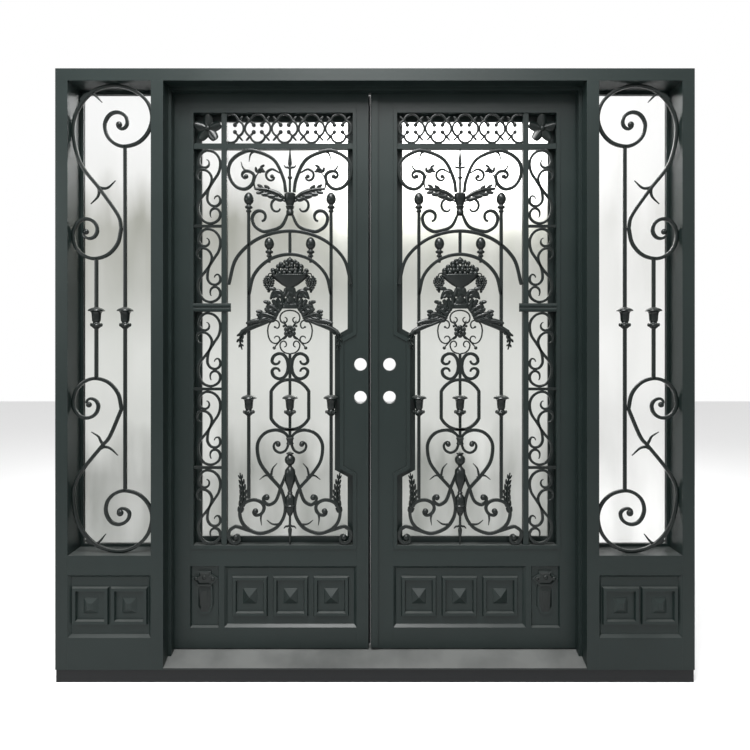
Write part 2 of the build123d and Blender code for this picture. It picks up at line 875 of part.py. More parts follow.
# Sidelight grilles, drawn for the left one, with the door on the right
side_reach = (1 - bar / sidelight_width) * SIDELIGHT_DRAWING[0] / 2
side_crown = (1 - bar / side_height / 2) * SIDELIGHT_DRAWING[1]
side_foot = SIDELIGHT_DRAWING[1] - side_crown
side_pickets = (52, -67)
side_bars = {
    "upper scroll": [(36, 1343), (22, 1397), (-52, 1503), (-133, 1612)]
    + curl(
        (-side_reach, 1745), (1, side_crown), (side_reach, 1803), (51, 1681), (-32, 1763), (16, 1822),
        (61, 1782), (37, 1753), (19, 1770), level=False,
    ),
    "scroll below it": curl(
        (36, 1343), (-73, 1217), (-side_reach, 1310), (-110, 1381), (-63, 1337), (-94, 1300), (-121, 1321),
        level=False,
    ),
    "long picket": [(side_pickets[0], 257), (side_pickets[0], 1681)],
    "short picket": [(side_pickets[1], 721), (side_pickets[1], 1217)],
    "scroll above the lowest": curl(
        (37, 595), (-69, 721), (-side_reach, 624), (-108, 558), (-59, 605), (-90, 638), (-108, 620),
        level=False,
    ),
    "lowest scroll": [(37, 595), (-11, 483), (-44, 442), (-118, 351), (-156, 285)]
    + curl(
        (-side_reach, 223), (22, side_foot), (side_reach, 144), (53, 257), (-28, 183), (22, 118), (70, 159),
        (39, 184), (22, 169), level=False,
    ),
}
side_tendrils = {
    "over the upper scroll": [(-133, 1873), (-87, 1901), (-44, 1863)],
    "in from the upper stem": [(-65, 1519), (-28, 1507), (12, 1539)],
    "down from the upper stem": [(-69, 1513), (-58, 1484), (-90, 1443)],
    "up from the lower stem": [(-40, 447), (-54, 476), (-86, 499)],
    "in from the lower stem": [(-48, 425), (-21, 437), (22, 403)],
    "under the lowest scroll": [(-110, 53), (-69, 37), (-28, 78)],
}
side_cup_place = 923

with BuildPart() as sidelight_scrolls:
    for side in (-1, 1):
        for bars, width in ((side_bars, bar), (side_tendrils, tendril)):
            with BuildSketch(facing(side * side_middle, side_grille_y + width / 2, sidelight_sill_top)):
                for points in bars.values():
                    with BuildLine():
                        Polyline(
                            *[
                                (-side * x, z)
                                for x, z in fitted(points, SIDELIGHT_DRAWING, (sidelight_width, side_height))
                            ]
                        )
                    trace(line_width=width)
                with Locations((0, side_height / 2)):
                    Rectangle(sidelight_width, side_height, mode=Mode.INTERSECT)
            extrude(amount=width)
write(sidelight_scrolls, "sidelight_scrolls")

with BuildPart() as sidelight_cups:
    for side in (-1, 1):
        for line in side_pickets:
            x, z = fitted([(-side * line, side_cup_place)], SIDELIGHT_DRAWING, (sidelight_width, side_height))[0]
            turned(side * side_middle + x, side_grille_y, sidelight_sill_top + z, cup_profile, 8)
            block(
                side * side_middle + x - bar / 2,
                side * side_middle + x + bar / 2,
                side_grille_y - bar / 2,
                side_grille_y + bar / 2,
                sidelight_sill_top + z,
                sidelight_sill_top + z + cup_profile[-1][0],
                mode=Mode.SUBTRACT,
            )
write(sidelight_cups, "sidelight_cups")
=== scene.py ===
"""Looks of a pair of wrought iron entry doors with two sidelights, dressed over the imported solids.

Lengths in the drawings are millimetres, as on the workshop drawing; the meshes are in metres.
"""
import math

import bpy
import numpy as np
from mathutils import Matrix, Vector


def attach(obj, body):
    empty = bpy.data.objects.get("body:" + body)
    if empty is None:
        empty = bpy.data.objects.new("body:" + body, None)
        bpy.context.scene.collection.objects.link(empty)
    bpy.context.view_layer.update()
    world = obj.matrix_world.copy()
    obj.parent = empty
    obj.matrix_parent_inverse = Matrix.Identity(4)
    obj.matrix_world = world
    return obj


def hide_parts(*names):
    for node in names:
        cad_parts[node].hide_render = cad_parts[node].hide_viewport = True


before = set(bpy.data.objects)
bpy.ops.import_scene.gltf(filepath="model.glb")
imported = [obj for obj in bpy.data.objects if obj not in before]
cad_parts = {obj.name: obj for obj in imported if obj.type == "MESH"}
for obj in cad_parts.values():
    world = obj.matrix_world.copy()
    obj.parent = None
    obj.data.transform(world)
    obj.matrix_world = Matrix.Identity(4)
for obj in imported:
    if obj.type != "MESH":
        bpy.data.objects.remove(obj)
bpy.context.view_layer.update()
seeded = np.random.default_rng(11)
LEAVES = {"left": -1.0, "right": 1.0}

# Places of the drawings on the solids
GRILLE_Y = 30.0
SIDE_GRILLE_Y = -41.0
PANEL_MIDDLE = 361.5
PANEL_FOOT = 532.0
PANEL_HALF = 267.5
PANEL_HEIGHT = 1681.0
STRIP_MIDDLE = 710.5
STRIP_WIDTH = 117.0
STRIP_BAR = 12.0
UNIT_HEIGHT = 321.8
BAND_MIDDLE = 2300.5
BAND_HALF = 64.5
BAND_PITCH = 114.3
SIDE_MIDDLE = 1085.0
SIDE_FOOT = 521.0

# Recesses of the lower panels, from front to floor, and the squares that stand in them
FIELD_LOW, FIELD_HIGH = 181.0, 442.0
FIELD_FACE, FIELD_FLOOR = 25.05, 37.0
FIELD_MIDDLE = 311.5
SQUARES_FIELD = (78.0, 640.5)
SQUARES_MIDDLE = 359.25
SQUARE_PITCH = 173.0
SQUARE_HEIGHT = 163.0
CARTOUCHE_FIELD = (663.5, 785.0)
CARTOUCHE_MIDDLE = 724.25
SIDE_FIELD = (915.0, 1255.0)
SIDE_FIELD_LOW = 185.0
SIDE_FIELD_FACE, SIDE_FIELD_FLOOR = -74.95, -63.0
SIDE_FIELD_MIDDLE = 313.5
SIDE_SQUARE_PITCH = 159.0
SIDE_SQUARE_HEIGHT = 147.0
SQUARE_WIDTH, SQUARE_BORDER, SQUARE_EDGE = 143.0, 12.0, 4.0
FIELD_BEVEL, CARTOUCHE_BEVEL = 12.0, 5.0

# Pyramids in the squares, and how deep they and the cast cartouche lie
PEAK_WIDTH, PEAK_HEIGHT = 60.0, 66.0
PEAK_TIP = 17.0
SIDE_PEAK_FOOT, SIDE_PEAK_TIP = -62.9, -74.9
CAST_BACK, CAST_FRONT = 36.5, 24.5

# Feet of the pickets' cups, over the foot of their drawing
CUP_FOOT = 544.0
SIDE_CUP_FOOT = 923.0

# Widths of the bars
BAR = 14.0
LIGHT_BAR = 11.0
TENDRIL = 11.0
TENDRIL_DEPTH = 8.0
WIRE = 6.0
BAND_BAR = 8.0
BAND_WIRE = 9.5
SIDE_TENDRIL, SIDE_TENDRIL_DEPTH = 13.0, 9.0


def fine_line(points, step=4.0):
    """An even line through the points.

    Each stretch between two points is the cubic whose slope at a point is half the way between its two neighbours,
    times a half; the whole is then divided again into equal steps of length.
    """
    points = np.asarray(points, float)
    if len(points) > 2:
        before = np.vstack([2 * points[:1] - points[1:2], points])
        padded = np.vstack([before, 2 * points[-1:] - points[-2:-1]])
        p0, p1, p2, p3 = padded[:-3], padded[1:-2], padded[2:-1], padded[3:]
        t = np.linspace(0, 1, 12, endpoint=False)[None, :, None]
        p0, p1, p2, p3 = (p[:, None, :] for p in (p0, p1, p2, p3))
        cubic = 0.5 * (
            2 * p1 + (p2 - p0) * t + (2 * p0 - 5 * p1 + 4 * p2 - p3) * t**2 + (3 * p1 - p0 - 3 * p2 + p3) * t**3
        )
        points = np.vstack([cubic.reshape(-1, points.shape[1]), points[-1:]])
    run = np.concatenate([[0], np.cumsum(np.linalg.norm(np.diff(points, axis=0), axis=1))])
    even = np.linspace(0, run[-1], max(int(run[-1] / step), 2) + 1)
    return np.stack([np.interp(even, run, points[:, axis]) for axis in range(points.shape[1])], axis=1)


def curl(*points, level=True):
    """Points every 30 degrees of a curl through its outermost points, each quarter turn a quarter of an ellipse."""
    points = np.asarray(points, float)
    start, end = points[:-1], points[1:]
    turn = np.radians([30, 60, 90])[None, :]
    early, late = np.sin(turn), 1 - np.cos(turn)
    flat = ((np.arange(len(start)) % 2 == 0) == level)[:, None]
    along = np.where(flat, early, late)
    up = np.where(flat, late, early)
    x = start[:, :1] + along * (end - start)[:, :1]
    z = start[:, 1:] + up * (end - start)[:, 1:]
    return [tuple(points[0])] + list(zip(x.ravel(), z.ravel()))


def forged(points, width, depth=None, y=GRILLE_Y, start=1.0, end=1.0, squareness=0.4, taper=60.0, step=4.0, sides=12):
    """A bar carried along a flat line.

    Across the line the section is a rounded square: cosine and sine, each raised to the squareness. The width falls
    to its start and end shares over the taper's length, by a quarter of a sine wave. The last three rings close in
    as a quarter circle, so that each end is a soft snub.
    """
    line = fine_line(points, step)
    depth = width if depth is None else depth
    run = np.concatenate([[0], np.cumsum(np.linalg.norm(np.diff(line, axis=0), axis=1))])
    rise = np.sin(np.clip(run / taper, 0, 1) * np.pi / 2)
    fall = np.sin(np.clip((run[-1] - run) / taper, 0, 1) * np.pi / 2)
    share = (start + (1 - start) * rise) * (end + (1 - end) * fall)
    half = width / 2 * share
    deep = depth / 2 * np.maximum(share, 0.6)
    heading = np.gradient(line, axis=0)
    heading /= np.linalg.norm(heading, axis=1)[:, None]
    close = np.array([0.0, 0.55, 0.87])
    nose = np.sqrt(1 - (1 - close) ** 2)
    first = line[:1] - heading[:1] * half[0] * 0.5 * (1 - close)[:, None]
    last = line[-1:] + heading[-1:] * half[-1] * 0.5 * (1 - close[::-1])[:, None]
    line = np.vstack([first, line, last])
    heading = np.vstack([np.repeat(heading[:1], 3, 0), heading, np.repeat(heading[-1:], 3, 0)])
    half = np.concatenate([half[0] * nose, half, half[-1] * nose[::-1]])
    deep = np.concatenate([deep[0] * nose, deep, deep[-1] * nose[::-1]])
    turn = np.radians(360 * (np.arange(sides) + 0.5) / sides)
    cos, sin = np.cos(turn), np.sin(turn)
    across = np.sign(cos) * np.abs(cos) ** squareness
    inward = np.sign(sin) * np.abs(sin) ** squareness
    biggest = np.abs(across).max()
    normal = np.stack([-heading[:, 1], heading[:, 0]], axis=1)
    spread = half[:, None] * (across / biggest)[None, :]
    x = line[:, :1] + normal[:, :1] * spread
    z = line[:, 1:] + normal[:, 1:] * spread
    depths = y + deep[:, None] * (inward / biggest)[None, :]
    return tube_faces(np.stack([x, depths, z], axis=2))


def tube_faces(rings):
    """Corners and faces of a closed tube from its rings of points, an array of rings by sides by three."""
    count, sides = rings.shape[:2]
    index = np.arange(count * sides).reshape(count, sides)
    following = np.roll(index, -1, axis=1)
    quads = np.stack([index[:-1], index[1:], following[1:], following[:-1]], axis=2).reshape(-1, 4)
    return rings.reshape(-1, 3), quads, [index[0].tolist(), index[-1, ::-1].tolist()]


def revolved(profile, x, y, z, sides=28, flat=1.0, step=2.5, smooth=True):
    """A turned casting: its profile of (height, radius), drawn through by a cubic, is carried round an upright axis.

    Its depth is the radius times flat.
    """
    profile = fine_line(profile, step) if smooth else np.asarray(profile, float)
    turn = np.radians(360 * np.arange(sides) / sides)
    radius = np.maximum(profile[:, 1:], 0.05)
    rings = np.stack(
        [
            x + radius * np.cos(turn)[None, :],
            y + flat * radius * np.sin(turn)[None, :],
            z + profile[:, :1] + 0 * turn[None, :],
        ],
        axis=2,
    )
    return tube_faces(rings[:, ::-1])


def ball(x, y, z, radius, stretch=(1, 1, 1), sides=14):
    """A ball, its latitude from pole to pole, stretched by a share along each axis."""
    rise = np.radians(np.linspace(-88, 88, sides // 2 + 2))
    turn = np.radians(360 * np.arange(sides) / sides)
    rings = np.stack(
        [
            x + stretch[0] * radius * np.cos(rise)[:, None] * np.cos(turn)[None, :],
            y + stretch[1] * radius * np.cos(rise)[:, None] * np.sin(turn)[None, :],
            z + stretch[2] * radius * np.sin(rise)[:, None] + 0 * turn[None, :],
        ],
        axis=2,
    )
    return tube_faces(rings[:, ::-1])


def leaf(points, width, depth=8.0, y=GRILLE_Y, cut=0.0, tip=0.1, root=0.5, lift=0.0):
    """A blade of acanthus along a flat line.

    Its half width rises from the root and falls to the tip, and the cut narrows both its ends by a sine wave raised
    to a half. Its section is a thin ellipse with a ridge, and the tip lifts towards the front.
    """
    line = fine_line(points, 2.5)
    s = np.linspace(0, 1, len(line))
    body = root + (1 - root) * np.sin(np.clip(s / 0.45, 0, 1) * np.pi / 2)
    body *= tip + (1 - tip) * np.sqrt(np.clip(1 - s**3, 0, 1))
    notch = 1 - cut * (1 - np.abs(np.sin(np.pi * s)) ** 0.5)
    half = width / 2 * body * notch
    heading = np.gradient(line, axis=0)
    heading /= np.linalg.norm(heading, axis=1)[:, None]
    normal = np.stack([-heading[:, 1], heading[:, 0]], axis=1)
    turn = np.radians(360 * (np.arange(16) + 0.5) / 16)
    across = np.cos(turn)
    front = np.sin(turn) * (0.45 + 0.55 * np.abs(np.sin(turn)) ** 3)
    spread = half[:, None] * across[None, :]
    lean = half[:, None] * notch[:, None] * 0.35 * (across**2)[None, :]
    depths = y + depth / 2 * front[None, :] * (0.5 + 0.5 * notch[:, None]) + lean * 0.5 - lift * (s**2)[:, None]
    rings = np.stack([line[:, :1] + normal[:, :1] * spread, depths, line[:, 1:] + normal[:, 1:] * spread], axis=2)
    return tube_faces(rings)


def frond(points, width, count, depth=8.0, y=GRILLE_Y, sides=(-1, 1), reach=1.0, lift=3.0):
    """A cut acanthus leaf: a blade and a midrib, from which leaflets part and bend towards the tip.

    A leaflet's length is half the width times the sine of its place, so that they grow and shrink along the rib. Its
    tip lies as far out as it is long, and forward by its length times the reach.
    """
    rib = fine_line(points, 2.0)
    heading = np.gradient(rib, axis=0)
    heading /= np.linalg.norm(heading, axis=1)[:, None]
    parts = [forged(points, 6, depth + 1, y=y - 1.5, end=0.35, taper=40, squareness=0.9, sides=8)]
    parts.append(leaf(points, width * 0.5, depth, y=y, root=0.4, tip=0.3, lift=lift * 0.5))
    for number in range(count):
        share = (number + 0.35) / (count + 0.25)
        at = int(share * (len(rib) - 1))
        along = heading[at]
        length = width / 2 * (0.45 + 0.75 * math.sin(math.pi * (0.25 + 0.7 * share)))
        for side in sides:
            out = side * np.array([-along[1], along[0]])
            root, middle = rib[at] - along * 2, rib[at] + length * (0.62 * out + 0.18 * along)
            tip = rib[at] + length * (out + reach * along)
            parts.append(
                leaf([root, middle, tip], length * 0.9, depth, y=y + 0.8 * (number % 2), tip=0.35, lift=lift)
            )
    last = heading[-1] * width * 0.3
    parts.append(leaf([rib[-1] - last, rib[-1], rib[-1] + last * 0.4], width * 0.3, depth, y=y))
    return parts


def mitred(x0, x1, z0, z1, front, floor, reach):
    """A bevel mitred round an upright rectangle.

    It stands from the floor to the front at the rectangle's edge, and falls to the floor at the reach outside it, or
    inside it where the reach is less than nothing.
    """
    low, high = np.array([x0, z0]), np.array([x1, z1])
    turns = np.array([[0, 0], [1, 0], [1, 1], [0, 1]])
    rings = []
    for offset, y in ((0, front), (0, floor), (reach, floor)):
        flat = np.where(turns == 1, high + offset, low - offset)
        rings.append(np.column_stack([flat[:, 0], np.full(4, y), flat[:, 1]]))
    rings = np.stack(rings, axis=1)
    index = np.arange(12).reshape(4, 3)
    ahead, beside = np.roll(index, -1, axis=0), np.roll(index, -1, axis=1)
    quads = np.stack([index, ahead, np.roll(ahead, -1, axis=1), beside], axis=2).reshape(-1, 4)
    return rings.reshape(-1, 3), quads if reach > 0 else quads[:, ::-1], []


def peak(x, z, floor, tip):
    """A pointed pyramid on a rectangle: its base ring stands on the floor and shrinks to a small ring at the tip."""
    corners = np.array([[-1, -1], [1, -1], [1, 1], [-1, 1]]) * np.array([PEAK_WIDTH / 2, PEAK_HEIGHT / 2])
    rings = [np.insert(corners * share, 1, y, axis=1) + (x, 0, z) for share, y in ((1, floor), (0.02, tip))]
    return tube_faces(np.stack(rings)[:, ::-1])


def raised(outline, back, front, inset):
    """A cast plate: its outline stands on the back plane, and the last two fifths of its height narrow by the inset."""
    outline = np.asarray(outline, float)
    centre = outline.mean(axis=0)
    rings = []
    for share, y in ((1, back), (1, back + 0.6 * (front - back)), (inset, front)):
        flat = centre + (outline - centre) * share
        rings.append(np.column_stack([flat[:, 0], np.full(len(flat), y), flat[:, 1]]))
    return tube_faces(np.stack(rings)[:, ::-1])


def block(x0, x1, y0, y1, z0, z1):
    """A plain bar between two corners, as a tube of four sides."""
    ring = np.array([[x0, y0], [x1, y0], [x1, y1], [x0, y1]], float)
    rings = np.stack([np.column_stack([ring, np.full(4, z)]) for z in (z0, z1)])
    return tube_faces(rings[:, ::-1])


def placed(surface, x=0.0, z=0.0, flip=1.0):
    """A surface moved to its place, and mirrored left to right where flip is -1, its faces then turned back."""
    corners, quads, caps = surface
    corners = corners * [flip, 1, 1] + [x, 0, z]
    if flip < 0:
        quads = quads[:, ::-1]
        caps = [cap[::-1] for cap in caps]
    return corners, quads, caps


def carried(surfaces, x=0.0, z=0.0, flip=1.0):
    """All of these surfaces moved to one place."""
    return [placed(surface, x, z, flip) for surface in surfaces]


def both(surface):
    """A surface and its mirror image."""
    return [surface, placed(surface, flip=-1.0)]


def piece(name, surfaces, body, nodes, finish, crease=38):
    """One object from many surfaces, outward faces up to the crease angle shaded as one."""
    corners, faces, start = [], [], 0
    for points, quads, caps in surfaces:
        corners.append(points)
        faces += (quads + start).tolist() + [[start + i for i in cap] for cap in caps]
        start += len(points)
    mesh = bpy.data.meshes.new(name)
    mesh.from_pydata((np.vstack(corners) / 1000).tolist(), [], faces)
    mesh.polygons.foreach_set("use_smooth", np.ones(len(mesh.polygons), bool))
    mesh.set_sharp_from_angle(angle=math.radians(crease))
    mesh.materials.append(finish)
    mesh.update()
    thing = bpy.data.objects.new(name, mesh)
    bpy.context.scene.collection.objects.link(thing)
    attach(thing, body)
    if nodes:
        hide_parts(*nodes)
    return thing


# Finishes
def socket_group(name, inputs, outputs):
    """An empty shader group with these inputs (name, value) and outputs (name, kind)."""
    group = bpy.data.node_groups.new(name, "ShaderNodeTree")
    for label, value in inputs:
        made = group.interface.new_socket(name=label, in_out="INPUT", socket_type="NodeSocketFloat")
        made.default_value = value
    for label, kind in outputs:
        group.interface.new_socket(name=label, in_out="OUTPUT", socket_type=kind)
    return group, group.nodes.new("NodeGroupInput"), group.nodes.new("NodeGroupOutput")


def node(tree, kind, links=None, **values):
    """A node with its settings, and its sockets fed or set by name or number."""
    made = tree.nodes.new(kind)
    for key, value in values.items():
        setattr(made, key, value)
    for label, source in (links or {}).items():
        if isinstance(source, bpy.types.NodeSocket):
            tree.links.new(source, made.inputs[label])
        else:
            made.inputs[label].default_value = source
    return made


def mixed(tree, share, first, second):
    """Colour between two colours, by a share that changes over the surface."""
    first, second = ([*colour, 1] if isinstance(colour, (list, tuple)) else colour for colour in (first, second))
    return node(tree, "ShaderNodeMix", {0: share, 6: first, 7: second}, data_type="RGBA").outputs[2]


def paint_skin():
    """Shared by all painted iron: cloudy sheen, fine grain of the sprayed coat, and a pale share on what faces up, part
    dust and part painted top light.
    """
    group, given, result = socket_group(
        "sprayed coat",
        [("Grain Scale", 900.0), ("Cloud Scale", 5.0), ("Dust And Top Light", 0.3), ("Hammer", 0.0)],
        [("Cloud", "NodeSocketFloat"), ("Dust And Top Light", "NodeSocketFloat"), ("Height", "NodeSocketFloat")],
    )
    place = node(group, "ShaderNodeTexCoord").outputs["Object"]
    cloud = node(group, "ShaderNodeTexNoise", {"Vector": place, "Scale": given.outputs["Cloud Scale"], "Detail": 5.0})
    grain = node(group, "ShaderNodeTexNoise", {"Vector": place, "Scale": given.outputs["Grain Scale"], "Detail": 2.0})
    dents = node(group, "ShaderNodeTexVoronoi", {"Vector": place, "Scale": 95.0}, feature="SMOOTH_F1")
    hammered = node(
        group, "ShaderNodeMath", {0: dents.outputs["Distance"], 1: given.outputs["Hammer"]}, operation="MULTIPLY"
    )
    height = node(
        group, "ShaderNodeMath", {0: grain.outputs["Fac"], 1: 0.35, 2: hammered.outputs[0]}, operation="MULTIPLY_ADD"
    )
    up = node(group, "ShaderNodeSeparateXYZ", {0: node(group, "ShaderNodeNewGeometry").outputs["Normal"]})
    # Faces that look up are paled: part dust, part painted top light.
    facing = node(group, "ShaderNodeMapRange", {"Value": up.outputs["Z"], "From Min": 0.55, "From Max": 0.98})
    patchy = node(
        group, "ShaderNodeMapRange", {"Value": cloud.outputs["Fac"], "From Min": 0.3, "From Max": 0.65, "To Min": 0.5}
    )
    dust_and_top_light_share = node(
        group, "ShaderNodeMath", {0: facing.outputs[0], 1: patchy.outputs[0]}, operation="MULTIPLY", use_clamp=True
    )
    dust_and_top_light = node(group, "ShaderNodeMath", {0: dust_and_top_light_share.outputs[0], 1: given.outputs["Dust And Top Light"]}, operation="MULTIPLY")
    group.links.new(cloud.outputs["Fac"], result.inputs["Cloud"])
    group.links.new(dust_and_top_light.outputs[0], result.inputs["Dust And Top Light"])
    group.links.new(height.outputs[0], result.inputs["Height"])
    return group


skin = paint_skin()


def painted_iron(name, colour, roughness, hammer=0.0, dust_and_top_light=0.3, bump=0.25, rim=0.0012, gloss=0.0, shine=0.25):
    """Satin coat on iron: its colour and sheen vary with the shared clouds, and its sharp edges are worn round.

    The gloss is the share of a clear coat over it, and the shine the strength of the paint's own reflection.
    """
    finish = bpy.data.materials.new(name)
    finish.use_nodes = True
    tree = finish.node_tree
    shader = tree.nodes["Principled BSDF"]
    coat = node(tree, "ShaderNodeGroup", node_tree=skin)
    coat.inputs["Hammer"].default_value = hammer
    coat.inputs["Dust And Top Light"].default_value = dust_and_top_light
    tone = mixed(tree, coat.outputs["Cloud"], [part * 0.82 for part in colour], [part * 1.18 for part in colour])
    # Upward faces mix towards a pale grey: part dust, part painted top light.
    dust_and_top_light_tone = mixed(tree, coat.outputs["Dust And Top Light"], tone, (0.16, 0.165, 0.16))
    sheen = node(
        tree,
        "ShaderNodeMapRange",
        {"Value": coat.outputs["Cloud"], "To Min": roughness - 0.06, "To Max": roughness + 0.08},
    )
    rounded = node(tree, "ShaderNodeBevel", {"Radius": rim}, samples=4)
    relief = node(
        tree,
        "ShaderNodeBump",
        {"Height": coat.outputs["Height"], "Strength": bump, "Distance": 0.0006, "Normal": rounded.outputs[0]},
    )
    tree.links.new(dust_and_top_light_tone, shader.inputs["Base Color"])
    tree.links.new(sheen.outputs[0], shader.inputs["Roughness"])
    tree.links.new(relief.outputs[0], shader.inputs["Normal"])
    shader.inputs["Specular IOR Level"].default_value = shine
    shader.inputs["Coat Weight"].default_value = gloss
    shader.inputs["Coat Roughness"].default_value = 0.17
    return finish


frame_paint = painted_iron("charcoal paint", (0.0085, 0.0142, 0.0132), 0.36)
# The bar paint is darker than the frame's: painted shade of bars seen against the light.
grille_paint = painted_iron(
    "forged bar paint", (0.0045, 0.0072, 0.0066), 0.3, hammer=0.9, bump=0.4, gloss=0.32, shine=0.12
)
# The threshold's colour is lighter than the frame's and its dust share heavy: scuffs and dust, and painted top light on
# its upward face.
threshold_paint = painted_iron("scuffed threshold paint with painted top light", (0.013, 0.0155, 0.0152), 0.4, dust_and_top_light=0.75)
# The sill's colour is darker than the frame's: black paint, and painted shade of the low strip.
sill_paint = painted_iron("sill paint", (0.006, 0.0068, 0.0075), 0.48, dust_and_top_light=0.2)
hinge_paint = painted_iron("hinge paint", (0.011, 0.0135, 0.0133), 0.3, dust_and_top_light=0.15)


def frosted_glass():
    """Frosted glass: rough and clear.

    Its greyness follows the height, moved up and down by clouds that are drawn out upright, and thin streaks pale it.
    The greyness by height is painted light and shade from behind the glass, and the right sidelight is made lighter by
    painted light.
    """
    finish = bpy.data.materials.new("frosted glass")
    finish.use_nodes = True
    tree = finish.node_tree
    shader = tree.nodes["Principled BSDF"]
    place = node(tree, "ShaderNodeTexCoord").outputs["Object"]
    wide = node(tree, "ShaderNodeMapping", {"Vector": place, "Scale": (4.5, 1.0, 1.1)})
    cloud = node(tree, "ShaderNodeTexNoise", {"Vector": wide.outputs[0], "Scale": 1.6, "Detail": 4.0})
    where = node(tree, "ShaderNodeSeparateXYZ", {0: place})
    ragged = node(
        tree, "ShaderNodeMath", {0: cloud.outputs["Fac"], 1: 0.3, 2: where.outputs["Z"]}, operation="MULTIPLY_ADD"
    )
    share = node(tree, "ShaderNodeMapRange", {"Value": ragged.outputs[0], "From Min": 0.65, "From Max": 2.45})
    # Greyness by height: painted light and shade from behind the glass.
    painted_backlight = node(tree, "ShaderNodeValToRGB", {"Fac": share.outputs[0]})
    painted_backlight_stops = (
        (0.0, (0.24, 0.25, 0.235)), (0.18, (0.29, 0.3, 0.28)), (0.3, (0.74, 0.755, 0.72)), (0.5, (0.64, 0.655, 0.62)),
        (0.62, (0.45, 0.46, 0.42)), (0.78, (0.37, 0.375, 0.33)), (0.9, (0.88, 0.885, 0.87)), (1.0, (0.95, 0.955, 0.95)),
    )
    for place_on, colour in painted_backlight_stops[1:-1]:
        painted_backlight.color_ramp.elements.new(place_on)
    for stop, (place_on, colour) in zip(painted_backlight.color_ramp.elements, painted_backlight_stops):
        stop.position = place_on
        stop.color = (*colour, 1)
    streak = node(tree, "ShaderNodeMapRange", {"Value": cloud.outputs["Fac"], "From Min": 0.35, "From Max": 0.65})
    pale = node(tree, "ShaderNodeMix", {6: painted_backlight.outputs[0], 7: (1.0, 1.0, 0.99, 1)}, data_type="RGBA")
    thin = node(tree, "ShaderNodeMath", {0: streak.outputs[0], 1: 0.22}, operation="MULTIPLY")
    # The right sidelight is lightened by painted light.
    right = node(tree, "ShaderNodeMapRange", {"Value": where.outputs["X"], "From Min": 0.85, "From Max": 0.95})
    streaks_and_painted_right_light = node(
        tree, "ShaderNodeMath", {0: right.outputs[0], 1: 0.62, 2: thin.outputs[0]}, operation="MULTIPLY_ADD"
    )
    tree.links.new(streaks_and_painted_right_light.outputs[0], pale.inputs[0])
    frost = node(tree, "ShaderNodeTexNoise", {"Vector": place, "Scale": 420.0, "Detail": 2.0})
    relief = node(tree, "ShaderNodeBump", {"Height": frost.outputs["Fac"], "Strength": 0.2, "Distance": 0.0004})
    tree.links.new(pale.outputs[2], shader.inputs["Base Color"])
    tree.links.new(relief.outputs[0], shader.inputs["Normal"])
    shader.inputs["Roughness"].default_value = 0.38
    shader.inputs["IOR"].default_value = 1.2
    shader.inputs["Transmission Weight"].default_value = 1.0
    return finish


glass_finish = frosted_glass()


def rubber_seal():
    """Dull black rubber with a fine grain."""
    finish = bpy.data.materials.new("rubber seal")
    finish.use_nodes = True
    tree = finish.node_tree
    shader = tree.nodes["Principled BSDF"]
    place = node(tree, "ShaderNodeTexCoord").outputs["Object"]
    grain = node(tree, "ShaderNodeTexNoise", {"Vector": place, "Scale": 700.0})
    relief = node(tree, "ShaderNodeBump", {"Height": grain.outputs["Fac"], "Strength": 0.3})
    tree.links.new(relief.outputs[0], shader.inputs["Normal"])
    shader.inputs["Base Color"].default_value = (0.012, 0.012, 0.013, 1)
    shader.inputs["Roughness"].default_value = 0.75
    return finish


seal_finish = rubber_seal()

for name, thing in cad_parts.items():
    finish = frame_paint
    if name.endswith("glass"):
        finish = glass_finish
    elif name == "sill_base":
        finish = sill_paint
    elif name == "threshold":
        finish = threshold_paint
    elif "hinges" in name:
        finish = hinge_paint
    for place in thing.material_slots:
        place.material = finish


